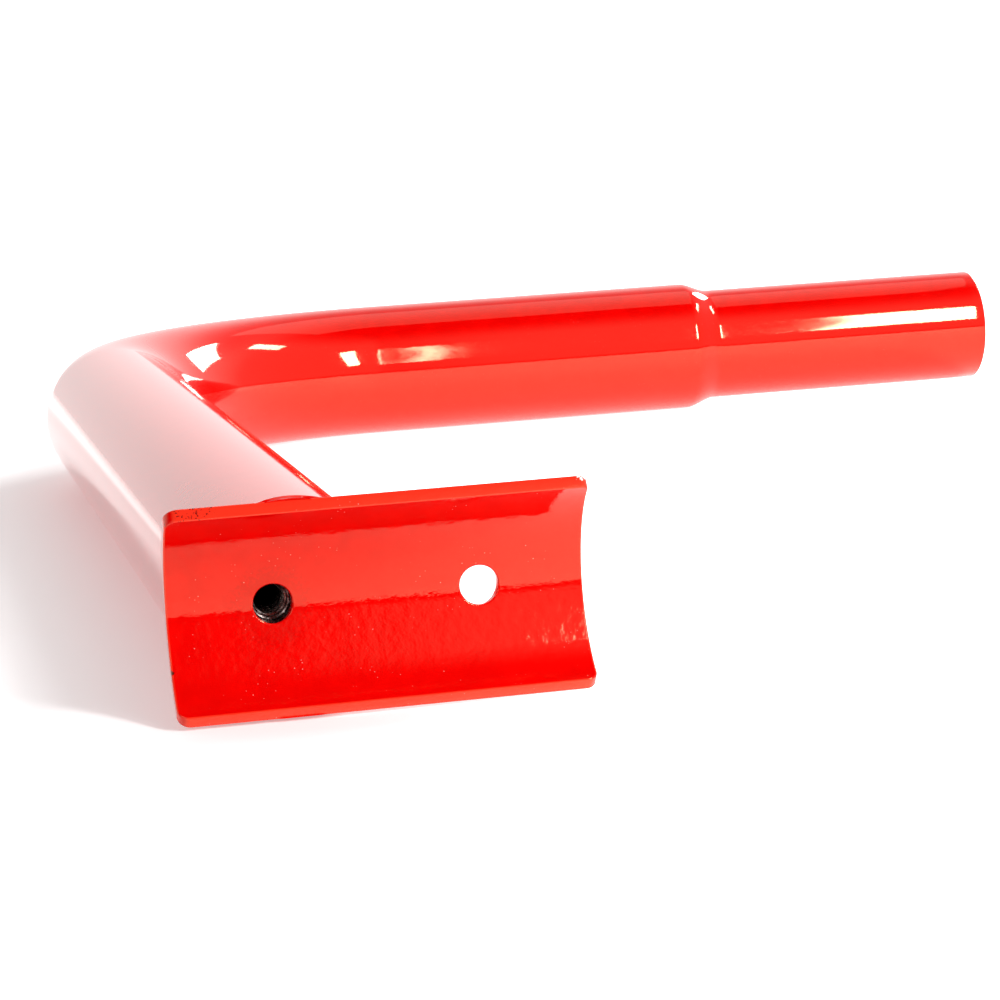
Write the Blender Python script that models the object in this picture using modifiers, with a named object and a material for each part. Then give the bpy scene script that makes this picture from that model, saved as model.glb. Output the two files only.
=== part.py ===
"""Bolt-on handle of a post driver: a curved saddle plate, a bent and swaged tube, a threaded insert and a weld.

Metres, +Z up. The origin is the middle of the saddle seat, halfway between the two bolt holes.
+X runs along the barrel and the grip, towards the swaged end, and +Y runs from the barrel out along the arm.
"""

import math

import bmesh
import bpy
from mathutils import Vector

OBJECT_NAME = "post_driver_handle"

# Clearances
TOUCH_GAP = 0.0003

# Saddle plate: a blank with rounded corners, rolled to the barrel's radius and drilled twice
SEAT_RADIUS = 0.0204
PLATE_THICKNESS = 0.0024
PLATE_LENGTH = 0.0731
PLATE_HEIGHT = 0.0376
WELDED_END_CORNER_RADIUS = 0.0022
FREE_END_CORNER_RADIUS = 0.0014
HOLE_SPACING = 0.0363
HOLE_DIAMETER = 0.0070

# Handle tube: an arm straight out from the plate, one bend, and a grip leg with a swaged end
TUBE_DIAMETER = 0.0381
TUBE_WALL = 0.0021
TUBE_SHIFT = 0.0027
ARM_REACH = 0.3975
BEND_RADIUS = 0.0844
GRIP_REACH = 0.2742
SWAGED_DIAMETER = 0.0331
SWAGED_LENGTH = 0.0844
SHOULDER_LENGTH = 0.0088

# Threaded insert behind the first hole: a plain entry, then the thread's minor diameter
INSERT_DIAMETER = 0.0120
INSERT_LENGTH = 0.0110
INSERT_ENTRY_DEPTH = 0.0016
THREAD_MINOR_DIAMETER = 0.0050
INSERT_CHAMFER = 0.0006

# Weld bead round the foot of the arm, as legs (on the plate, on the tube): full on the inner side, where the
# plate runs on, smaller at the plate's end and over the top, and none along the bottom, where the part lies
WELD_INNER_LEGS = (0.0032, 0.0044)
WELD_OUTER_LEGS = (0.0014, 0.0030)
WELD_TOP_LEGS = (0.0009, 0.0036)
WELD_BOTTOM_LEGS = (0.0003, 0.0024)
WELD_BULGE = 0.66
WELD_START = math.radians(-50)
WELD_STOP = math.radians(230)
WELD_TAPER = math.radians(15)
WELD_END_SCALE = 0.35

# Facets
SEAT_STRIPS = 25
CORNER_STEPS = 5
HOLE_SIDES = 32
TUBE_SIDES = 48
BEND_STEPS = 20
SHOULDER_STEPS = 5
INSERT_SIDES = 32
WELD_STEPS = 80
WELD_PROFILE_STEPS = 4

# Worked out from the sizes above
BACK_RADIUS = SEAT_RADIUS + PLATE_THICKNESS
SEAT_HALF_ANGLE = math.asin(PLATE_HEIGHT / 2 / BACK_RADIUS)
THREADED_HOLE_X = -HOLE_SPACING / 2
CLEAR_HOLE_X = HOLE_SPACING / 2
ARM_X = THREADED_HOLE_X + TUBE_SHIFT
TUBE_RADIUS = TUBE_DIAMETER / 2
CUTTER_LENGTH = 4 * PLATE_HEIGHT


def clear_scene():
    for obj in list(bpy.data.objects):
        bpy.data.objects.remove(obj, do_unlink=True)


def new_collection(name, hidden=False):
    collection = bpy.data.collections.new(name)
    bpy.context.scene.collection.children.link(collection)
    collection.hide_render = hidden
    return collection


def material(name, colour, roughness, metallic):
    made = bpy.data.materials.new(name)
    made.use_nodes = True
    shader = made.node_tree.nodes["Principled BSDF"]
    shader.inputs["Base Color"].default_value = (*colour, 1.0)
    shader.inputs["Roughness"].default_value = roughness
    shader.inputs["Metallic"].default_value = metallic
    return made


def add_mesh(name, bm, collection, finish=None):
    mesh = bpy.data.meshes.new(name)
    bm.to_mesh(mesh)
    bm.free()
    obj = bpy.data.objects.new(name, mesh)
    collection.objects.link(obj)
    if finish:
        mesh.materials.append(finish)
        mesh.shade_smooth()
        mesh.set_sharp_from_angle(angle=math.radians(35))
    return obj


def add_cylinder_cutter(name, radius, length, location, axis, sides):
    bm = bmesh.new()
    bmesh.ops.create_cone(
        bm, cap_ends=True, segments=sides, radius1=radius, radius2=radius, depth=length
    )
    cutter = add_mesh(name, bm, cutters)
    cutter.rotation_euler = Vector((0, 0, 1)).rotation_difference(axis).to_euler()
    cutter.location = location
    cutter.hide_render = True
    cutter.display_type = "WIRE"
    return cutter


def cut(obj, cutter):
    boolean = obj.modifiers.new(cutter.name, "BOOLEAN")
    boolean.operation = "DIFFERENCE"
    boolean.solver = "EXACT"
    boolean.object = cutter


def rounded_rectangle(width, height, left_radius, right_radius, steps):
    """Corner points of a rounded rectangle in the XZ plane, anticlockwise seen from -Y."""
    points = []
    for side_x, side_z, start in ((1, 1, 0), (-1, 1, 90), (-1, -1, 180), (1, -1, 270)):
        radius = right_radius if side_x > 0 else left_radius
        centre_x = side_x * (width / 2 - radius)
        centre_z = side_z * (height / 2 - radius)
        for step in range(steps + 1):
            angle = math.radians(start + 90 * step / steps)
            points.append((centre_x + radius * math.cos(angle), 0, centre_z + radius * math.sin(angle)))
    return points


def build_saddle_plate():
    """A flat blank cut into strips, each strip a facet once the blank is rolled, then thickened and drilled."""
    blank_height = 2 * SEAT_HALF_ANGLE * SEAT_RADIUS
    bm = bmesh.new()
    outline = rounded_rectangle(
        PLATE_LENGTH, blank_height, WELDED_END_CORNER_RADIUS, FREE_END_CORNER_RADIUS, CORNER_STEPS
    )
    bm.faces.new([bm.verts.new(point) for point in outline])
    for strip in range(1, SEAT_STRIPS):
        height = blank_height * (strip / SEAT_STRIPS - 0.5)
        everything = bm.verts[:] + bm.edges[:] + bm.faces[:]
        bmesh.ops.bisect_plane(bm, geom=everything, plane_co=(0, 0, height), plane_no=(0, 0, 1))
    for vert in bm.verts:
        angle = vert.co.z / SEAT_RADIUS
        vert.co.y = SEAT_RADIUS * (math.cos(angle) - 1)
        vert.co.z = SEAT_RADIUS * math.sin(angle)
    plate = add_mesh("saddle_plate", bm, parts, red_paint)
    wall = plate.modifiers.new("wall", "SOLIDIFY")
    wall.thickness = PLATE_THICKNESS
    wall.offset = -1
    wall.use_even_offset = True
    for name, x in (("threaded_hole", THREADED_HOLE_X), ("clear_hole", CLEAR_HOLE_X)):
        drill = add_cylinder_cutter(
            name, HOLE_DIAMETER / 2, CUTTER_LENGTH, (x, 0, 0), Vector((0, 1, 0)), HOLE_SIDES
        )
        cut(plate, drill)


def handle_path():
    """(point, radius factor) along the tube's centre line, from inside the barrel's space to the swaged end."""
    swaged = SWAGED_DIAMETER / TUBE_DIAMETER
    path = [(Vector((ARM_X, -SEAT_RADIUS, 0)), 1.0)]
    centre = Vector((ARM_X + BEND_RADIUS, ARM_REACH - BEND_RADIUS, 0))
    for step in range(BEND_STEPS + 1):
        angle = math.pi / 2 * step / BEND_STEPS
        offset = Vector((-math.cos(angle), math.sin(angle), 0)) * BEND_RADIUS
        path.append((centre + offset, 1.0))
    shoulder_start = ARM_X + GRIP_REACH - SWAGED_LENGTH - SHOULDER_LENGTH
    for step in range(SHOULDER_STEPS + 1):
        share = step / SHOULDER_STEPS
        eased = (1 - math.cos(math.pi * share)) / 2
        x = shoulder_start + SHOULDER_LENGTH * share
        path.append((Vector((x, ARM_REACH, 0)), 1.0 + (swaged - 1.0) * eased))
    path.append((Vector((ARM_X + GRIP_REACH, ARM_REACH, 0)), swaged))
    return path


def build_handle_tube():
    """The tube's outer skin is a bevelled curve. Solidify gives it its wall, and the barrel's shape copes its foot."""
    curve = bpy.data.curves.new("handle_tube_path", "CURVE")
    curve.dimensions = "3D"
    curve.bevel_depth = TUBE_RADIUS
    curve.bevel_resolution = (TUBE_SIDES - 4) // 2
    spline = curve.splines.new("POLY")
    path = handle_path()
    spline.points.add(len(path) - 1)
    for point, (position, factor) in zip(spline.points, path):
        point.co = (*position, 1.0)
        point.radius = factor
    guide = bpy.data.objects.new("handle_tube_guide", curve)
    parts.objects.link(guide)
    bpy.context.view_layer.update()
    evaluated = guide.evaluated_get(bpy.context.evaluated_depsgraph_get())
    mesh = bpy.data.meshes.new_from_object(evaluated)
    mesh.name = "handle_tube"
    bpy.data.objects.remove(guide, do_unlink=True)
    mesh.materials.clear()
    mesh.materials.append(red_paint)
    mesh.shade_smooth()
    mesh.set_sharp_from_angle(angle=math.radians(35))
    tube = bpy.data.objects.new("handle_tube", mesh)
    parts.objects.link(tube)
    wall = tube.modifiers.new("wall", "SOLIDIFY")
    wall.thickness = TUBE_WALL
    wall.offset = -1
    wall.use_even_offset = True
    cope = add_cylinder_cutter(
        "cope",
        BACK_RADIUS + TOUCH_GAP,
        CUTTER_LENGTH,
        (ARM_X, -SEAT_RADIUS, 0),
        Vector((1, 0, 0)),
        4 * SEAT_STRIPS,
    )
    cut(tube, cope)


def build_threaded_insert():
    """A turned sleeve on the threaded hole's axis, just behind the plate."""
    outer = INSERT_DIAMETER / 2
    entry = HOLE_DIAMETER / 2
    minor = THREAD_MINOR_DIAMETER / 2
    profile = (
        (outer - INSERT_CHAMFER, 0.0),
        (outer, -INSERT_CHAMFER),
        (outer, INSERT_CHAMFER - INSERT_LENGTH),
        (outer - INSERT_CHAMFER, -INSERT_LENGTH),
        (minor, -INSERT_LENGTH),
        (minor, minor - entry - INSERT_ENTRY_DEPTH),
        (entry, -INSERT_ENTRY_DEPTH),
        (entry, 0.0),
    )
    bm = bmesh.new()
    verts = [bm.verts.new((radius, 0, height)) for radius, height in profile]
    for first, second in zip(verts, verts[1:] + verts[:1]):
        bm.edges.new((first, second))
    insert = add_mesh("threaded_insert", bm, parts, bare_steel)
    turned = insert.modifiers.new("turned", "SCREW")
    turned.axis = "Z"
    turned.steps = INSERT_SIDES
    turned.render_steps = INSERT_SIDES
    turned.use_merge_vertices = True
    turned.merge_threshold = 0.00005
    insert.rotation_euler = (math.radians(90), 0, 0)
    insert.location = (THREADED_HOLE_X, PLATE_THICKNESS + TOUCH_GAP, 0)


def behind_plate(z):
    """Y of the place one clearance behind the plate's back at a height. Past the plate's edge it stays level."""
    reach = min(abs(z), PLATE_HEIGHT / 2)
    return math.sqrt((BACK_RADIUS + TOUCH_GAP) ** 2 - reach**2) - SEAT_RADIUS


def weld_section(angle):
    """The bead's closed outline at one angle round the arm: root, toe on the plate, bulge, toe on the tube."""
    inner, top = math.cos(angle), math.sin(angle)
    leg_shares = (
        (max(0.0, inner) ** 2, WELD_INNER_LEGS),
        (max(0.0, -inner) ** 2, WELD_OUTER_LEGS),
        (max(0.0, top) ** 2, WELD_TOP_LEGS),
        (max(0.0, -top) ** 2, WELD_BOTTOM_LEGS),
    )
    to_end = min(angle - WELD_START, WELD_STOP - angle)
    scale = WELD_END_SCALE + (1 - WELD_END_SCALE) * min(1.0, to_end / WELD_TAPER)
    plate_leg = scale * sum(share * legs[0] for share, legs in leg_shares)
    tube_leg = scale * sum(share * legs[1] for share, legs in leg_shares)
    root = TUBE_RADIUS + TOUCH_GAP

    def place(out, along):
        radius = root + out
        height = radius * math.sin(angle)
        return Vector((ARM_X + radius * math.cos(angle), behind_plate(height) + along, height))

    outline = [place(0, 0)]
    for step in range(WELD_PROFILE_STEPS + 1):
        share = step / WELD_PROFILE_STEPS
        middle = 2 * share * (1 - share) * WELD_BULGE
        outline.append(
            place(plate_leg * ((1 - share) ** 2 + middle), tube_leg * (share**2 + middle))
        )
    return outline


def build_weld_bead():
    """A fillet lofted round the foot of the arm, along the line where the tube meets the plate's back."""
    bm = bmesh.new()
    rings = []
    for step in range(WELD_STEPS + 1):
        section = weld_section(WELD_START + (WELD_STOP - WELD_START) * step / WELD_STEPS)
        rings.append([bm.verts.new(point) for point in section])
    for ring, after in zip(rings, rings[1:]):
        for index in range(len(ring)):
            follow = (index + 1) % len(ring)
            bm.faces.new((ring[index], ring[follow], after[follow], after[index]))
    bm.faces.new(rings[0])
    bm.faces.new(rings[-1])
    bmesh.ops.recalc_face_normals(bm, faces=bm.faces)
    add_mesh("weld_bead", bm, parts, red_paint)


clear_scene()
parts = new_collection(OBJECT_NAME)
cutters = new_collection("cutters", hidden=True)
red_paint = material("red_powder_coat", (0.78, 0.006, 0.004), 0.18, 0.0)
bare_steel = material("bare_steel", (0.16, 0.13, 0.12), 0.42, 1.0)
build_saddle_plate()
build_handle_tube()
build_threaded_insert()
build_weld_bead()
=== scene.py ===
"""Looks of the post driver handle.

A rolled plate, a bent tube and a weld under gloss red powder coat, and one bare steel insert.
"""

import math

import bmesh
import bpy
from mathutils import Matrix, Vector, noise


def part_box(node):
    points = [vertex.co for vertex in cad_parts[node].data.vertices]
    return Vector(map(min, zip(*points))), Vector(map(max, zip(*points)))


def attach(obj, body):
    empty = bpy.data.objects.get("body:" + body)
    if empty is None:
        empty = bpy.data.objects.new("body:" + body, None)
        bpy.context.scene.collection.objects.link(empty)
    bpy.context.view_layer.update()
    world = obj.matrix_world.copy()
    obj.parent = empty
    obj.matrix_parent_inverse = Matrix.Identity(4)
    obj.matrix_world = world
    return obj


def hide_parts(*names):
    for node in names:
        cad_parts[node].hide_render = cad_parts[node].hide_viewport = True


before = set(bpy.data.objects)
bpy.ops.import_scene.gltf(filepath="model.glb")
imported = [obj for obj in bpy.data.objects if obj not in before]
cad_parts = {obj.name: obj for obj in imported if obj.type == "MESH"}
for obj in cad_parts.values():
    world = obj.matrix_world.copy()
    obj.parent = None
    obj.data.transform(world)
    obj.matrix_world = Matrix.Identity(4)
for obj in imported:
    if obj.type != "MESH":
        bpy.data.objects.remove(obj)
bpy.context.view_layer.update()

MM = 0.001

# Sizes read from the frame
plate_low, plate_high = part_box("saddle_plate")
tube_low, tube_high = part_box("handle_tube")
insert_low, insert_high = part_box("threaded_insert")
PLATE_LENGTH = plate_high.x - plate_low.x
PLATE_HEIGHT = plate_high.z - plate_low.z
PLATE_THICKNESS = plate_high.y
TUBE_RADIUS = tube_high.z
ARM_X = tube_low.x + TUBE_RADIUS
ARM_REACH = tube_high.y - TUBE_RADIUS
GRIP_END_X = tube_high.x
HOLE_X = (insert_low.x + insert_high.x) / 2

# Sizes that the frame's boxes don't give, equal to those in the part's source
SEAT_RADIUS = 20.4 * MM
HOLE_RADIUS = 3.5 * MM
TUBE_WALL = 2.1 * MM
BEND_RADIUS = 84.4 * MM
SWAGED_RADIUS = 16.55 * MM
SWAGED_LENGTH = 84.4 * MM
SHOULDER_LENGTH = 8.8 * MM

# Sizes of the corners and the thread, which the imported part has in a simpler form
TOP_LEFT_CORNER = 2.5 * MM
TOP_RIGHT_CORNER = 1.2 * MM
BOTTOM_LEFT_CORNER = 2.3 * MM
BOTTOM_RIGHT_CORNER = 1.8 * MM
INSERT_ENTRY_DEPTH = 0.6 * MM
THREAD_MINOR_RADIUS = 2.5 * MM
THREAD_PITCH = 1.27 * MM
THREAD_DEPTH = 0.42 * MM
THREAD_LEAD_TURNS = 2.4

BACK_RADIUS = SEAT_RADIUS + PLATE_THICKNESS
SEAT_HALF_ANGLE = math.asin(PLATE_HEIGHT / 2 / BACK_RADIUS)


def back_of_plate(z):
    """Y of the plate's back at a height. Past the plate's edge it stays level with that edge."""
    reach = min(abs(z), PLATE_HEIGHT / 2)
    return math.sqrt(BACK_RADIUS**2 - reach**2) - SEAT_RADIUS


def smooth_step(share):
    share = min(1.0, max(0.0, share))
    return share * share * (3 - 2 * share)


# ---------------------------------------------------------------- mesh helpers


def add_piece(name, bm, finish, node):
    """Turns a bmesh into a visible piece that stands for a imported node."""
    mesh = bpy.data.meshes.new(name)
    bm.to_mesh(mesh)
    bm.free()
    mesh.materials.append(finish)
    mesh.shade_smooth()
    piece = bpy.data.objects.new(name, mesh)
    bpy.context.scene.collection.objects.link(piece)
    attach(piece, "root")
    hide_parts(node)
    return piece


def join_rings(bm, rings, close=False):
    """Quads between each ring of vertices and the next. Rings are closed loops of equal length."""
    after = rings[1:] + rings[:1] if close else rings[1:]
    for ring, follow in zip(rings, after):
        count = len(ring)
        for index in range(count):
            other = (index + 1) % count
            bm.faces.new((ring[index], ring[other], follow[other], follow[index]))


# ---------------------------------------------------------------- saddle plate

PLATE_EDGE_ROUND = 0.32 * MM
PAINT_FILM = 0.08 * MM
EDGE_ROUND_STEPS = 5
CORNER_STEPS = 14
HOLE_SIDES = 72
PLATE_STRIPS = 150
PLATE_SLICES = 60
SAME_PLACE = 1e-6


def arc_points(centre_x, centre_y, radius, start, stop, steps):
    """Points along an arc in the XY plane, between two angles in degrees."""
    for step in range(steps + 1):
        angle = math.radians(start + (stop - start) * step / steps)
        yield (centre_x + radius * math.cos(angle), centre_y + radius * math.sin(angle), 0)


def poly_outline(curve, points):
    points = list(points)
    spline = curve.splines.new("POLY")
    spline.points.add(len(points) - 1)
    for point, position in zip(spline.points, points):
        point.co = (*position, 1)
    spline.use_cyclic_u = True


def flat_blank():
    """The plate before it is rolled, flat in the XY plane, with its two holes and its rounded edges."""
    half_height = SEAT_HALF_ANGLE * SEAT_RADIUS
    half_length = PLATE_LENGTH / 2
    curve = bpy.data.curves.new("blank", "CURVE")
    curve.dimensions = "2D"
    curve.fill_mode = "BOTH"
    curve.extrude = PLATE_THICKNESS / 2 - PLATE_EDGE_ROUND
    curve.bevel_depth = PLATE_EDGE_ROUND
    curve.bevel_resolution = EDGE_ROUND_STEPS
    curve.offset = PAINT_FILM - PLATE_EDGE_ROUND
    outline = []
    for side_x, side_y, start, radius in (
        (1, 1, 0, TOP_RIGHT_CORNER),
        (-1, 1, 90, TOP_LEFT_CORNER),
        (-1, -1, 180, BOTTOM_LEFT_CORNER),
        (1, -1, 270, BOTTOM_RIGHT_CORNER),
    ):
        centre = (side_x * (half_length - radius), side_y * (half_height - radius))
        outline.extend(arc_points(*centre, radius, start, start + 90, CORNER_STEPS))
    poly_outline(curve, outline)
    for x in (HOLE_X, -HOLE_X):
        poly_outline(curve, list(arc_points(x, 0, HOLE_RADIUS, 0, 360, HOLE_SIDES))[:-1])
    blank = bpy.data.objects.new("blank", curve)
    bpy.context.scene.collection.objects.link(blank)
    bpy.context.view_layer.update()
    mesh = bpy.data.meshes.new_from_object(blank.evaluated_get(bpy.context.evaluated_depsgraph_get()))
    bpy.data.objects.remove(blank, do_unlink=True)
    bm = bmesh.new()
    bm.from_mesh(mesh)
    bpy.data.meshes.remove(mesh)
    bmesh.ops.remove_doubles(bm, verts=bm.verts, dist=SAME_PLACE)
    return bm, half_height


def slice_blank(bm, axis, low, high, count):
    """Cuts the blank into even slices along an axis, so that it can be rolled smoothly."""
    for step in range(1, count):
        place = Vector((0, 0, 0))
        place[axis] = low + (high - low) * step / count
        direction = Vector((0, 0, 0))
        direction[axis] = 1
        everything = bm.verts[:] + bm.edges[:] + bm.faces[:]
        bmesh.ops.bisect_plane(bm, geom=everything, plane_co=place, plane_no=direction, dist=SAME_PLACE)


def build_saddle_plate(finish):
    """The blank rolled round a line along X. The flat blank's normals turn along with it, for its shading."""
    bm, half_height = flat_blank()
    slice_blank(bm, 1, -half_height, half_height, PLATE_STRIPS)
    slice_blank(bm, 0, -PLATE_LENGTH / 2, PLATE_LENGTH / 2, PLATE_SLICES)
    bmesh.ops.recalc_face_normals(bm, faces=bm.faces)
    bm.normal_update()
    face_level = PLATE_THICKNESS / 2 - SAME_PLACE
    rim_distance = bm.verts.layers.float.new("rim_distance")
    normals = []
    for vert in bm.verts:
        x, along, depth = vert.co
        normal = vert.normal.copy()
        if abs(depth) > face_level:
            normal = Vector((0, 0, math.copysign(1, depth)))
        vert[rim_distance] = min(PLATE_LENGTH / 2 - abs(x), half_height - abs(along))
        angle = along / SEAT_RADIUS
        radius = SEAT_RADIUS + PLATE_THICKNESS / 2 + depth
        outward = Vector((0, math.cos(angle), math.sin(angle)))
        upward = Vector((0, -math.sin(angle), math.cos(angle)))
        vert.co = Vector((x, radius * math.cos(angle) - SEAT_RADIUS, radius * math.sin(angle)))
        normals.append(Vector((normal.x, 0, 0)) + upward * normal.y + outward * normal.z)
    bmesh.ops.reverse_faces(bm, faces=bm.faces)
    plate = add_piece("saddle_plate_skin", bm, finish, "saddle_plate")
    plate.data.normals_split_custom_set_from_vertices(normals)


# ---------------------------------------------------------------- handle tube

TUBE_SIDES = 160
BEND_STEPS = 72
ARM_STEPS = 40
GRIP_STEPS = 24
SHOULDER_STEPS = 20
FOOT_STEPS = 12
LIP_STEPS = 5
TUBE_SHARP_ANGLE = math.radians(50)
END_ROUND = 0.5 * MM
FOOT_SINK = 0.5 * MM
FOOT_BLEND = 16 * MM
FOOT_FLAT = 18.6 * MM


def tube_stations():
    """(centre, tangent, radius) along the tube, from the end of the foot to the start of the end's lip."""
    stations = []
    arm_top = ARM_REACH - BEND_RADIUS
    for step in range(ARM_STEPS):
        y = FOOT_BLEND + (arm_top - FOOT_BLEND) * step / ARM_STEPS
        stations.append((Vector((ARM_X, y, 0)), Vector((0, 1, 0)), TUBE_RADIUS))
    centre = Vector((ARM_X + BEND_RADIUS, arm_top, 0))
    for step in range(BEND_STEPS + 1):
        angle = math.pi / 2 * step / BEND_STEPS
        offset = Vector((-math.cos(angle), math.sin(angle), 0)) * BEND_RADIUS
        tangent = Vector((math.sin(angle), math.cos(angle), 0))
        stations.append((centre + offset, tangent, TUBE_RADIUS))
    grip_start = ARM_X + BEND_RADIUS
    shoulder = GRIP_END_X - SWAGED_LENGTH - SHOULDER_LENGTH
    for step in range(1, GRIP_STEPS):
        x = grip_start + (shoulder - grip_start) * step / GRIP_STEPS
        stations.append((Vector((x, ARM_REACH, 0)), Vector((1, 0, 0)), TUBE_RADIUS))
    for step in range(SHOULDER_STEPS + 1):
        share = step / SHOULDER_STEPS
        radius = TUBE_RADIUS + (SWAGED_RADIUS - TUBE_RADIUS) * smooth_step(share)
        place = Vector((shoulder + SHOULDER_LENGTH * share, ARM_REACH, 0))
        stations.append((place, Vector((1, 0, 0)), radius))
    swaged_start = shoulder + SHOULDER_LENGTH
    for step in range(1, GRIP_STEPS + 1):
        x = swaged_start + (GRIP_END_X - END_ROUND - swaged_start) * step / GRIP_STEPS
        stations.append((Vector((x, ARM_REACH, 0)), Vector((1, 0, 0)), SWAGED_RADIUS))
    return stations


def ring_at(bm, centre, tangent, radius):
    """A round ring of vertices square to a level tangent."""
    side = tangent.cross(Vector((0, 0, 1)))
    ring = []
    for index in range(TUBE_SIDES):
        angle = 2 * math.pi * index / TUBE_SIDES
        level = centre + side * (radius * math.cos(angle))
        ring.append(bm.verts.new(level + Vector((0, 0, radius * math.sin(angle)))))
    return ring


def foot_ring(bm, radius, share):
    """A ring between the coped foot, at 0, and the square end of the blend, at 1. It is flattened below."""
    ring = []
    for index in range(TUBE_SIDES):
        angle = 2 * math.pi * index / TUBE_SIDES
        z = radius * math.sin(angle)
        foot = back_of_plate(z) - FOOT_SINK
        y = foot + (FOOT_BLEND - foot) * share
        z = max(z, -FOOT_FLAT - (TUBE_RADIUS - FOOT_FLAT) * share)
        ring.append(bm.verts.new((ARM_X + radius * math.cos(angle), y, z)))
    return ring


def wall_rings(bm, inset, lip_side):
    """Rings along one face of the tube's wall, from the foot to the rounded lip at the swaged end."""
    rings = [foot_ring(bm, TUBE_RADIUS - inset, step / FOOT_STEPS) for step in range(FOOT_STEPS)]
    rings += [ring_at(bm, centre, tangent, radius - inset) for centre, tangent, radius in tube_stations()]
    for step in range(1, LIP_STEPS + 1):
        angle = math.pi / 2 * step / LIP_STEPS
        centre = Vector((GRIP_END_X - END_ROUND * (1 - math.sin(angle)), ARM_REACH, 0))
        radius = SWAGED_RADIUS - inset + lip_side * END_ROUND * (1 - math.cos(angle))
        rings.append(ring_at(bm, centre, Vector((1, 0, 0)), radius))
    return rings


def build_handle_tube(finish):
    bm = bmesh.new()
    outer = wall_rings(bm, 0, -1)
    inner = wall_rings(bm, TUBE_WALL, 1)
    join_rings(bm, outer + inner[::-1], close=True)
    bmesh.ops.recalc_face_normals(bm, faces=bm.faces)
    tube = add_piece("handle_tube_skin", bm, finish, "handle_tube")
    tube.data.set_sharp_from_angle(angle=TUBE_SHARP_ANGLE)


# ---------------------------------------------------------------- weld bead

# Legs of the fillet, along the plate and along the tube, at four sides of the tube's foot
WELD_INNER_LEGS = (3.2 * MM, 4.4 * MM)
WELD_OUTER_LEGS = (1.4 * MM, 3.0 * MM)
WELD_TOP_LEGS = (0.25 * MM, 2.2 * MM)
WELD_BOTTOM_LEGS = (0.3 * MM, 2.4 * MM)
WELD_START = math.radians(-50)
WELD_STOP = math.radians(230)
WELD_TAPER = math.radians(15)
WELD_END_SCALE = 0.35
WELD_STEPS = 760
WELD_PROFILE_STEPS = 14
WELD_BULGE = 0.62
WELD_TOP_SLOPE = 2.5
WELD_SINK = 0.7 * MM
WELD_TOE_SINK = 0.21 * MM
WELD_TOE_RUN = 0.42 * MM
WELD_WANDER = 0.22
WELD_WANDER_SCALE = 2.2
WELD_WANDER_LEVEL = 3.1
WELD_RIPPLES = 74
WELD_RIPPLE_HEIGHT = 0.16 * MM
WELD_RIPPLE_BOW = 3.2
WELD_RIPPLE_RISE = 1.25
WELD_FULL_RIPPLE_LEG = 1.0 * MM
WELD_RIPPLE_SLANT = 0.7


def weld_legs(angle):
    """The fillet's two legs at an angle round the tube, which shrink towards the bead's ends."""
    inner, top = math.cos(angle), math.sin(angle)
    leg_shares = (
        (max(0.0, inner) ** 2, WELD_INNER_LEGS),
        (max(0.0, -inner) ** 2, WELD_OUTER_LEGS),
        (max(0.0, top) ** 2, WELD_TOP_LEGS),
        (max(0.0, -top) ** 2, WELD_BOTTOM_LEGS),
    )
    to_end = min(angle - WELD_START, WELD_STOP - angle)
    scale = WELD_END_SCALE + (1 - WELD_END_SCALE) * min(1.0, to_end / WELD_TAPER)
    plate_leg = scale * sum(share * legs[0] for share, legs in leg_shares)
    tube_leg = scale * sum(share * legs[1] for share, legs in leg_shares)
    wander = noise.noise(Vector((inner * WELD_WANDER_SCALE, top * WELD_WANDER_SCALE, WELD_WANDER_LEVEL)))
    return plate_leg, tube_leg * (1 + WELD_WANDER * wander)


def weld_place(angle, out, back):
    """A place out from the tube and back from the plate. Above the plate's edge it leans further back."""
    radius = TUBE_RADIUS + out
    height = radius * math.sin(angle)
    back += WELD_TOP_SLOPE * max(0.0, height - PLATE_HEIGHT / 2)
    return Vector((ARM_X + radius * math.cos(angle), back_of_plate(height) + back, height))


def weld_section(angle):
    """Points across the bead: a root sunk in both pieces, a rippled face, and a toe sunk in the tube."""
    plate_leg, tube_leg = weld_legs(angle)
    points = [weld_place(angle, -WELD_SINK, -WELD_SINK)]
    for step in range(WELD_PROFILE_STEPS + 1):
        share = step / WELD_PROFILE_STEPS
        middle = 2 * share * (1 - share) * WELD_BULGE
        ripple_phase = angle * WELD_RIPPLES / (2 * math.pi) + WELD_RIPPLE_BOW * (share - 0.5) ** 2
        saw = 1 - (ripple_phase % 1.0)
        ripple = (smooth_step(min(1, saw * WELD_RIPPLE_RISE)) - 0.5) * math.sin(math.pi * share)
        lift = WELD_RIPPLE_SLANT * WELD_RIPPLE_HEIGHT * ripple * min(1.0, plate_leg / WELD_FULL_RIPPLE_LEG)
        out = plate_leg * ((1 - share) ** 2 + middle) + lift
        back = tube_leg * (share**2 + middle) + lift
        if step == WELD_PROFILE_STEPS:
            out -= WELD_TOE_SINK
            back += WELD_TOE_RUN
        points.append(weld_place(angle, out, back))
    return points


def build_weld_bead(finish):
    bm = bmesh.new()
    rings = []
    for step in range(WELD_STEPS + 1):
        points = weld_section(WELD_START + (WELD_STOP - WELD_START) * step / WELD_STEPS)
        rings.append([bm.verts.new(point) for point in points])
    join_rings(bm, rings)
    bm.faces.new(rings[0])
    bm.faces.new(rings[-1])
    bmesh.ops.recalc_face_normals(bm, faces=bm.faces)
    add_piece("weld_bead_skin", bm, finish, "weld_bead")


# ---------------------------------------------------------------- threaded insert

THREAD_SIDES = 96
THREAD_ROWS_PER_PITCH = 14
THREAD_RUN_IN_TURNS = 0.4
THREAD_CREST_SHARE = 0.12
THREAD_FLANK_SHARE = 0.60
THREAD_SHARP_ANGLE = math.radians(55)


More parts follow.
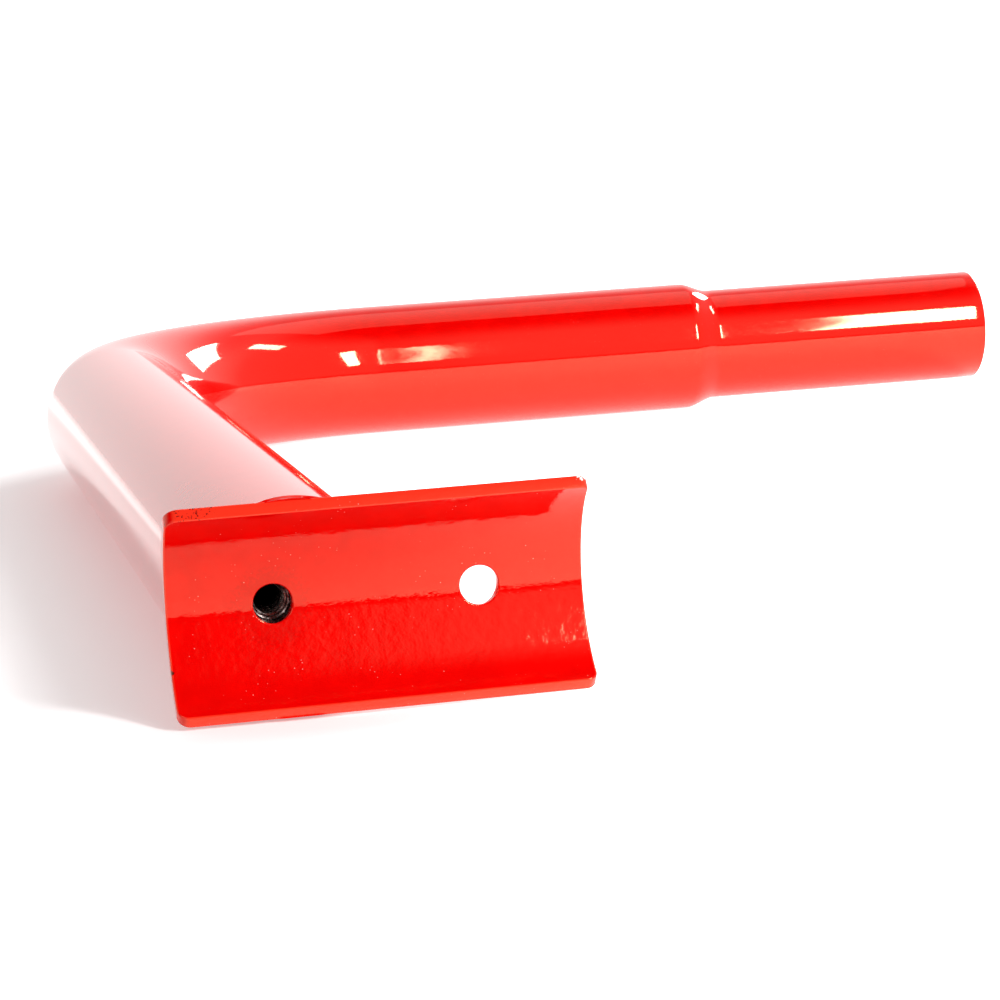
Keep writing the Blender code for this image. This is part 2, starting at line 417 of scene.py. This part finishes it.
def thread_radius(depth, angle):
    """The bore's radius past the plain entry. The crests come in slowly, so the first turns are shallow."""
    turns = (depth - INSERT_ENTRY_DEPTH) / THREAD_PITCH
    phase = (depth / THREAD_PITCH + angle / (2 * math.pi)) % 1.0
    groove = THREAD_DEPTH * smooth_step((abs(phase - 0.5) * 2 - THREAD_CREST_SHARE) / THREAD_FLANK_SHARE)
    crest = HOLE_RADIUS + (THREAD_MINOR_RADIUS - HOLE_RADIUS) * min(1.0, turns / THREAD_LEAD_TURNS)
    return min(HOLE_RADIUS, crest + groove * min(1.0, turns / THREAD_RUN_IN_TURNS))


def insert_ring(bm, depth, radius_at):
    """A ring at a depth past the front face. Its radius is a function of the depth and the angle."""
    ring = []
    for index in range(THREAD_SIDES):
        angle = 2 * math.pi * index / THREAD_SIDES
        radius = radius_at(depth, angle)
        x = HOLE_X + radius * math.cos(angle)
        ring.append(bm.verts.new((x, insert_low.y + depth, radius * math.sin(angle))))
    return ring


def build_threaded_insert(finish):
    """A sleeve with a plain entry and a helical thread, as rings from the front face in and back outside."""
    length = insert_high.y - insert_low.y
    outer_radius = (insert_high.x - insert_low.x) / 2
    thread_length = length - INSERT_ENTRY_DEPTH
    rows = int(thread_length / THREAD_PITCH * THREAD_ROWS_PER_PITCH)
    bm = bmesh.new()
    rings = [
        insert_ring(bm, 0, lambda depth, angle: outer_radius),
        insert_ring(bm, 0, lambda depth, angle: HOLE_RADIUS),
        insert_ring(bm, INSERT_ENTRY_DEPTH / 2, lambda depth, angle: HOLE_RADIUS),
    ]
    for row in range(rows + 1):
        rings.append(insert_ring(bm, INSERT_ENTRY_DEPTH + thread_length * row / rows, thread_radius))
    rings.append(insert_ring(bm, length, lambda depth, angle: outer_radius))
    join_rings(bm, rings, close=True)
    bmesh.ops.recalc_face_normals(bm, faces=bm.faces)
    insert = add_piece("threaded_insert_skin", bm, finish, "threaded_insert")
    insert.data.set_sharp_from_angle(angle=THREAD_SHARP_ANGLE)


# ---------------------------------------------------------------- materials


class Nodes:
    """Short calls for adding and linking the nodes of a material or of the world."""

    def __init__(self, owner, shader_name="Principled BSDF"):
        owner.use_nodes = True
        self.tree = owner.node_tree
        self.shader = self.tree.nodes[shader_name]

    def add(self, kind, settings=(), **inputs):
        node = self.tree.nodes.new(kind)
        for key, value in dict(settings).items():
            setattr(node, key, value)
        for key, value in inputs.items():
            self.put(node, key.replace("_", " "), value)
        return node

    def put(self, node, key, value):
        socket = node.inputs[key]
        if isinstance(value, bpy.types.NodeSocket):
            self.tree.links.new(value, socket)
        else:
            socket.default_value = value

    def noise(self, vector, scale, detail):
        return self.add("ShaderNodeTexNoise", Vector=vector, Scale=scale, Detail=detail).outputs["Fac"]

    def ramp(self, fac, low, high, to_low=0.0, to_high=1.0):
        """A smooth step from one value to another as the input goes from low to high."""
        node = self.add("ShaderNodeMapRange", {"interpolation_type": "SMOOTHSTEP"}, Value=fac)
        self.put(node, "From Min", low)
        self.put(node, "From Max", high)
        self.put(node, "To Min", to_low)
        self.put(node, "To Max", to_high)
        return node.outputs["Result"]

    def mix_colour(self, fac, first, second):
        node = self.add("ShaderNodeMix", {"data_type": "RGBA"}, Factor=fac)
        for socket, value in ((node.inputs[6], first), (node.inputs[7], second)):
            if isinstance(value, bpy.types.NodeSocket):
                self.tree.links.new(value, socket)
            else:
                socket.default_value = (*value, 1)
        return node.outputs[2]

    def mathed(self, operation, first, second):
        node = self.add("ShaderNodeMath", {"operation": operation})
        self.put(node, 0, first)
        self.put(node, 1, second)
        return node.outputs[0]

    def bump(self, height, strength, distance, normal=None):
        node = self.add("ShaderNodeBump", Height=height, Strength=strength, Distance=distance)
        if normal is not None:
            self.put(node, "Normal", normal)
        return node.outputs["Normal"]


RED = (0.69, 0.0006, 0.0004)
RED_DEEP = (0.64, 0.0004, 0.0003)
# Lighter orange red along the plate's rim: a painted highlight
RED_RIM_HIGHLIGHT = (0.80, 0.026, 0.010)
SMUDGE = (0.30, 0.004, 0.003)
DUST = (0.90, 0.66, 0.60)
PIT = (0.09, 0.004, 0.004)
# White of the primer, also used for painted glints
PRIMER_AND_GLINT_WHITE = (0.95, 0.90, 0.86)
STEEL_DARK = (0.07, 0.052, 0.048)
STEEL_LIGHT = (0.42, 0.37, 0.35)

# Wear and painted glints on the plate: a place and a radius, in millimetres
HOLE_SMUDGE = ((HOLE_X / MM, 0, -0.6), 7.5)
PITTED_CORNER = ((-33.5, -5.6, 18.7), 6.0)
EDGE_PIT = ((-36.5, -2.6, -9.9), 0.4)
PRIMER_CHIP_AND_PAINTED_GLINTS = (
    # A chip showing white primer at the top right corner
    ((35.6, -7.3, 18.7), 0.9),
    # Painted glints: white spots on the right edge and on the threaded hole's lower left edge
    ((36.5, 0.4, -1.4), 0.30),
    ((36.5, 0.2, -4.6), 0.35),
    ((HOLE_X / MM - 2.7, 0.1, -2.3), 0.16),
)
SMUDGE_STRENGTH = 0.22

SAG_DEPTH = 0.16 * MM
PEEL_DEPTH = 0.10 * MM
GRAIN_DEPTH = 0.03 * MM
STEEL_GRAIN_DEPTH = 0.05 * MM
COAT_IOR = 1.5
COAT_TINT = (1.0, 1.0, 0.60, 1)


def speckle(nodes, where, cells, patch, low, high):
    """Small round specks, kept only where a slower noise is high."""
    speck_cells = nodes.add("ShaderNodeTexVoronoi", Vector=where, Scale=cells)
    speck = nodes.ramp(speck_cells.outputs["Distance"], 0.05, 0.12, 1.0, 0.0)
    sparse = nodes.ramp(nodes.noise(where, scale=patch, detail=1.0), low, high)
    return nodes.mathed("MULTIPLY", speck, sparse)


def spot(nodes, where, place_and_radius, ragged=0.4):
    """1 inside a ragged round spot on the part, 0 outside it."""
    place, radius = place_and_radius
    distance = nodes.add("ShaderNodeVectorMath", {"operation": "DISTANCE"})
    nodes.put(distance, 0, where)
    nodes.put(distance, 1, Vector(place) * MM)
    wander = nodes.ramp(nodes.noise(where, scale=1800, detail=2.0), 0.3, 0.7, 1 - ragged, 1 + ragged)
    reach = nodes.mathed("DIVIDE", distance.outputs["Value"], nodes.mathed("MULTIPLY", wander, radius * MM))
    return nodes.ramp(reach, 0.7, 1.0, 1.0, 0.0)


def plate_wear_and_highlights(nodes, where, colour):
    """A painted highlight along the rim, a smudge round the threaded hole, pits and chips along the edges,
    and painted glints on the right edge and beside the threaded hole.
    """
    rim = nodes.add("ShaderNodeAttribute", {"attribute_name": "rim_distance"}).outputs["Fac"]
    # Painted highlight: the rim band is drawn lighter, standing in for the light the rim catches
    rim_highlight_band = nodes.ramp(rim, 0.05 * MM, 0.34 * MM, 1.0, 0.0)
    colour = nodes.mix_colour(rim_highlight_band, colour, RED_RIM_HIGHLIGHT)
    smudge = nodes.mathed("MULTIPLY", spot(nodes, where, HOLE_SMUDGE, ragged=0.25), SMUDGE_STRENGTH)
    colour = nodes.mix_colour(smudge, colour, SMUDGE)
    pit_noise = nodes.ramp(nodes.noise(where, scale=2300, detail=2.0), 0.55, 0.66)
    pits = nodes.mathed("MULTIPLY", spot(nodes, where, PITTED_CORNER), pit_noise)
    colour = nodes.mix_colour(nodes.mathed("MULTIPLY", pits, rim_highlight_band), colour, PIT)
    colour = nodes.mix_colour(spot(nodes, where, EDGE_PIT), colour, PIT)
    # White spots: one primer chip and three painted glints
    for chip_and_glint in PRIMER_CHIP_AND_PAINTED_GLINTS:
        colour = nodes.mix_colour(spot(nodes, where, chip_and_glint, ragged=0.6), colour, PRIMER_AND_GLINT_WHITE)
    return colour


def red_powder_coat(name, sag_strength, peel_strength, dustiness, wear_and_highlights=None):
    """Gloss powder coat: mottled red, specks of dust, slow sags, and orange peel where it is asked for."""
    material = bpy.data.materials.new(name)
    nodes = Nodes(material)
    where = nodes.add("ShaderNodeTexCoord").outputs["Object"]
    mottle = nodes.noise(where, scale=210, detail=3.0)
    colour = nodes.mix_colour(nodes.ramp(mottle, 0.35, 0.65), RED_DEEP, RED)
    # Wear, painted highlights and painted glints go into the base colour here
    if wear_and_highlights:
        colour = wear_and_highlights(nodes, where, colour)
    dust = nodes.mathed("MULTIPLY", speckle(nodes, where, 900, 120, 0.46, 0.66), dustiness)
    haze = nodes.noise(where, scale=900, detail=2.0)
    nodes.put(nodes.shader, "Base Color", nodes.mix_colour(dust, colour, DUST))
    nodes.put(nodes.shader, "Roughness", nodes.ramp(haze, 0.3, 0.7, 0.04, 0.07))
    normal = nodes.bump(nodes.noise(where, scale=150, detail=1.0), sag_strength, SAG_DEPTH)
    if peel_strength:
        normal = nodes.bump(nodes.noise(where, scale=640, detail=1.5), peel_strength, PEEL_DEPTH, normal)
        normal = nodes.bump(nodes.noise(where, scale=2600, detail=1.0), peel_strength, GRAIN_DEPTH, normal)
    nodes.put(nodes.shader, "Normal", normal)
    nodes.put(nodes.shader, "IOR", COAT_IOR)
    nodes.put(nodes.shader, "Specular Tint", COAT_TINT)
    return material


def dark_steel(name):
    material = bpy.data.materials.new(name)
    nodes = Nodes(material)
    where = nodes.add("ShaderNodeTexCoord").outputs["Object"]
    patch = nodes.ramp(nodes.noise(where, scale=700, detail=3.0), 0.35, 0.7)
    haze = nodes.noise(where, scale=1500, detail=2.0)
    nodes.put(nodes.shader, "Base Color", nodes.mix_colour(patch, STEEL_DARK, STEEL_LIGHT))
    nodes.put(nodes.shader, "Metallic", 1.0)
    nodes.put(nodes.shader, "Roughness", nodes.ramp(haze, 0.3, 0.7, 0.20, 0.36))
    grain = nodes.bump(nodes.noise(where, scale=2500, detail=2.0), 0.25, STEEL_GRAIN_DEPTH)
    nodes.put(nodes.shader, "Normal", grain)
    return material


# ---------------------------------------------------------------- stage, lights and camera


TABLE_FRONT_Y = -0.20
TABLE_REACH = 6.0
TABLE_DROP = 0.2 * MM
TABLE_GREY = (0.80, 0.80, 0.80, 1)
TABLE_GLOW_COLOUR = (1.0, 0.995, 0.99, 1)
TABLE_GLOW = 1.05
TABLE_GLOW_IN_PAINTED_SHADOW = 0.33
# Where the painted shadow on the table fades out: to the right, to the left and to the back
SHADE_RIGHT_X = (-0.04, 0.09)
SHADE_LEFT_X = (-0.7, -0.2)
SHADE_BACK_Y = (0.5, 1.0)


def build_floor():
    """A pale table top that ends a little in front of the part. It glows, but less at the part's left, as a
    painted shadow.
    """
    bm = bmesh.new()
    near, far = TABLE_FRONT_Y, TABLE_REACH
    corners = ((-TABLE_REACH, near), (TABLE_REACH, near), (TABLE_REACH, far), (-TABLE_REACH, far))
    bm.faces.new([bm.verts.new((x, y, 0)) for x, y in corners])
    mesh = bpy.data.meshes.new("floor")
    bm.to_mesh(mesh)
    bm.free()
    floor = bpy.data.objects.new("floor", mesh)
    floor.location.z = tube_low.z - TABLE_DROP
    bpy.context.scene.collection.objects.link(floor)
    material = bpy.data.materials.new("pale_floor")
    mesh.materials.append(material)
    nodes = Nodes(material)
    where = nodes.add("ShaderNodeTexCoord").outputs["Object"]
    split = nodes.add("ShaderNodeSeparateXYZ", Vector=where)
    x, y = split.outputs["X"], split.outputs["Y"]
    # Painted shadow: the table's glow drops to the left of the part
    painted_shadow = nodes.mathed("MULTIPLY", nodes.ramp(x, *SHADE_RIGHT_X, 1.0, 0.0), nodes.ramp(x, *SHADE_LEFT_X))
    painted_shadow = nodes.mathed("MULTIPLY", painted_shadow, nodes.ramp(y, *SHADE_BACK_Y, 1.0, 0.0))
    nodes.put(nodes.shader, "Base Color", TABLE_GREY)
    nodes.put(nodes.shader, "Roughness", 0.6)
    nodes.put(nodes.shader, "Emission Color", TABLE_GLOW_COLOUR)
    nodes.put(nodes.shader, "Emission Strength", nodes.ramp(painted_shadow, 0.0, 1.0, TABLE_GLOW, TABLE_GLOW_IN_PAINTED_SHADOW))
    nodes.put(nodes.shader, "Specular IOR Level", 0.1)


BACKDROP_GLOW = 1.18
BACKDROP_TOP_SHARE = 0.35
ROOM_GLOW = 0.012
WALL_GLOW = 0.62
# Where the lit regions fade in or out, as parts of a direction of length 1
BACKDROP_FRONT_Y = (0.0, 0.5)
BACKDROP_TOP_Z = (0.40, 0.75)
WALL_LEFT_X = (0.10, 0.23)
WALL_BACK_Y = (0.1, 0.5)
WALL_FOOT_Z = (-0.04, 0.05)
WALL_TOP_Z = (0.72, 0.96)


def build_world():
    """A bright backdrop behind the part, and a dark room in front of it with a dim wall on the right."""
    world = bpy.data.worlds.new("studio")
    bpy.context.scene.world = world
    nodes = Nodes(world, "Background")
    where = nodes.add("ShaderNodeTexCoord").outputs["Generated"]
    split = nodes.add("ShaderNodeSeparateXYZ", Vector=where)
    x, y, z = (split.outputs[key] for key in "XYZ")
    backdrop = nodes.ramp(y, *BACKDROP_FRONT_Y, 0.0, BACKDROP_GLOW)
    backdrop = nodes.mathed("MULTIPLY", backdrop, nodes.ramp(z, *BACKDROP_TOP_Z, 1.0, BACKDROP_TOP_SHARE))
    wall = nodes.mathed("MULTIPLY", nodes.ramp(z, *WALL_TOP_Z, 1.0, 0.0), nodes.ramp(z, *WALL_FOOT_Z))
    wall = nodes.mathed("MULTIPLY", nodes.ramp(x, *WALL_LEFT_X), wall)
    wall = nodes.mathed("MULTIPLY", wall, nodes.ramp(y, *WALL_BACK_Y, 1.0, 0.0))
    wall = nodes.mathed("MULTIPLY", wall, WALL_GLOW)
    glow = nodes.mathed("ADD", nodes.mathed("ADD", backdrop, wall), ROOM_GLOW)
    is_camera_ray = nodes.add("ShaderNodeLightPath").outputs["Is Camera Ray"]
    nodes.put(nodes.shader, "Color", (1.0, 1.0, 1.0, 1))
    nodes.put(nodes.shader, "Strength", nodes.mathed("MAXIMUM", glow, is_camera_ray))


def add_softbox(name, location, target, size, power):
    """A lamp facing a target, with its height kept square to X, so its glint on the grip stands upright."""
    light = bpy.data.lights.new(name, "AREA")
    light.shape = "RECTANGLE"
    light.size, light.size_y = size
    light.energy = power
    lamp = bpy.data.objects.new(name, light)
    bpy.context.scene.collection.objects.link(lamp)
    forward = (Vector(target) - Vector(location)).normalized()
    upright = Vector((0, -forward.z, forward.y)).normalized()
    upright *= math.copysign(1, upright.z)
    turn = Matrix((upright.cross(-forward), upright, -forward)).transposed()
    lamp.matrix_world = Matrix.Translation(location) @ turn.to_4x4()
    lamp.visible_camera = False


def build_lights():
    """One key softbox in front on the right, weak fills, and small lamps that show only as glints."""
    middle = (0.06, 0.12, 0)
    grip = (0.08, 0.37, 0)
    add_softbox("key_right", (1.10, -1.57, 1.13), middle, (0.28, 1.10), 46)
    add_softbox("fill_left", (-1.25, -1.05, 0.85), middle, (0.9, 0.9), 6)
    add_softbox("fill_over", (0.1, 0.9, 1.6), middle, (1.6, 1.2), 4)
    add_softbox("glint_front", (0.355, -0.90, 0.673), grip, (0.020, 0.70), 1.1)
    add_softbox("glint_side", (1.06, 0.44, 1.10), grip, (0.14, 0.45), 5)
    add_softbox("glint_back", (1.25, 1.38, 0.83), grip, (0.60, 0.55), 20)


CAMERA_PLACE = Vector((-0.0866, -0.5223, 0.0900))
CAMERA_FORWARD = Vector((0.20282, 0.96915, -0.14004))
CAMERA_ROLL = math.radians(-3.24)
CAMERA_LENS = 111.6
CAMERA_SENSOR = 36


def build_camera():
    data = bpy.data.cameras.new("camera")
    data.lens = CAMERA_LENS
    data.sensor_width = CAMERA_SENSOR
    data.clip_start = 0.01
    data.clip_end = 100
    camera = bpy.data.objects.new("camera", data)
    turn = CAMERA_FORWARD.to_track_quat("-Z", "Y").to_matrix() @ Matrix.Rotation(CAMERA_ROLL, 3, "Z")
    camera.matrix_world = Matrix.Translation(CAMERA_PLACE) @ turn.to_4x4()
    bpy.context.scene.collection.objects.link(camera)
    bpy.context.scene.camera = camera


# ---------------------------------------------------------------- the scene

bpy.context.scene.view_settings.view_transform = "Standard"
build_camera()
build_floor()
build_world()
build_lights()
plate_red = red_powder_coat(
    "plate_red", sag_strength=0.15, peel_strength=0.32, dustiness=0.35, wear_and_highlights=plate_wear_and_highlights
)
tube_red = red_powder_coat("tube_red", sag_strength=0.05, peel_strength=0, dustiness=0.06)
weld_red = red_powder_coat("weld_red", sag_strength=0.30, peel_strength=0.40, dustiness=0.80)
build_saddle_plate(plate_red)
build_handle_tube(tube_red)
build_weld_bead(weld_red)
build_threaded_insert(dark_steel("insert_bare"))
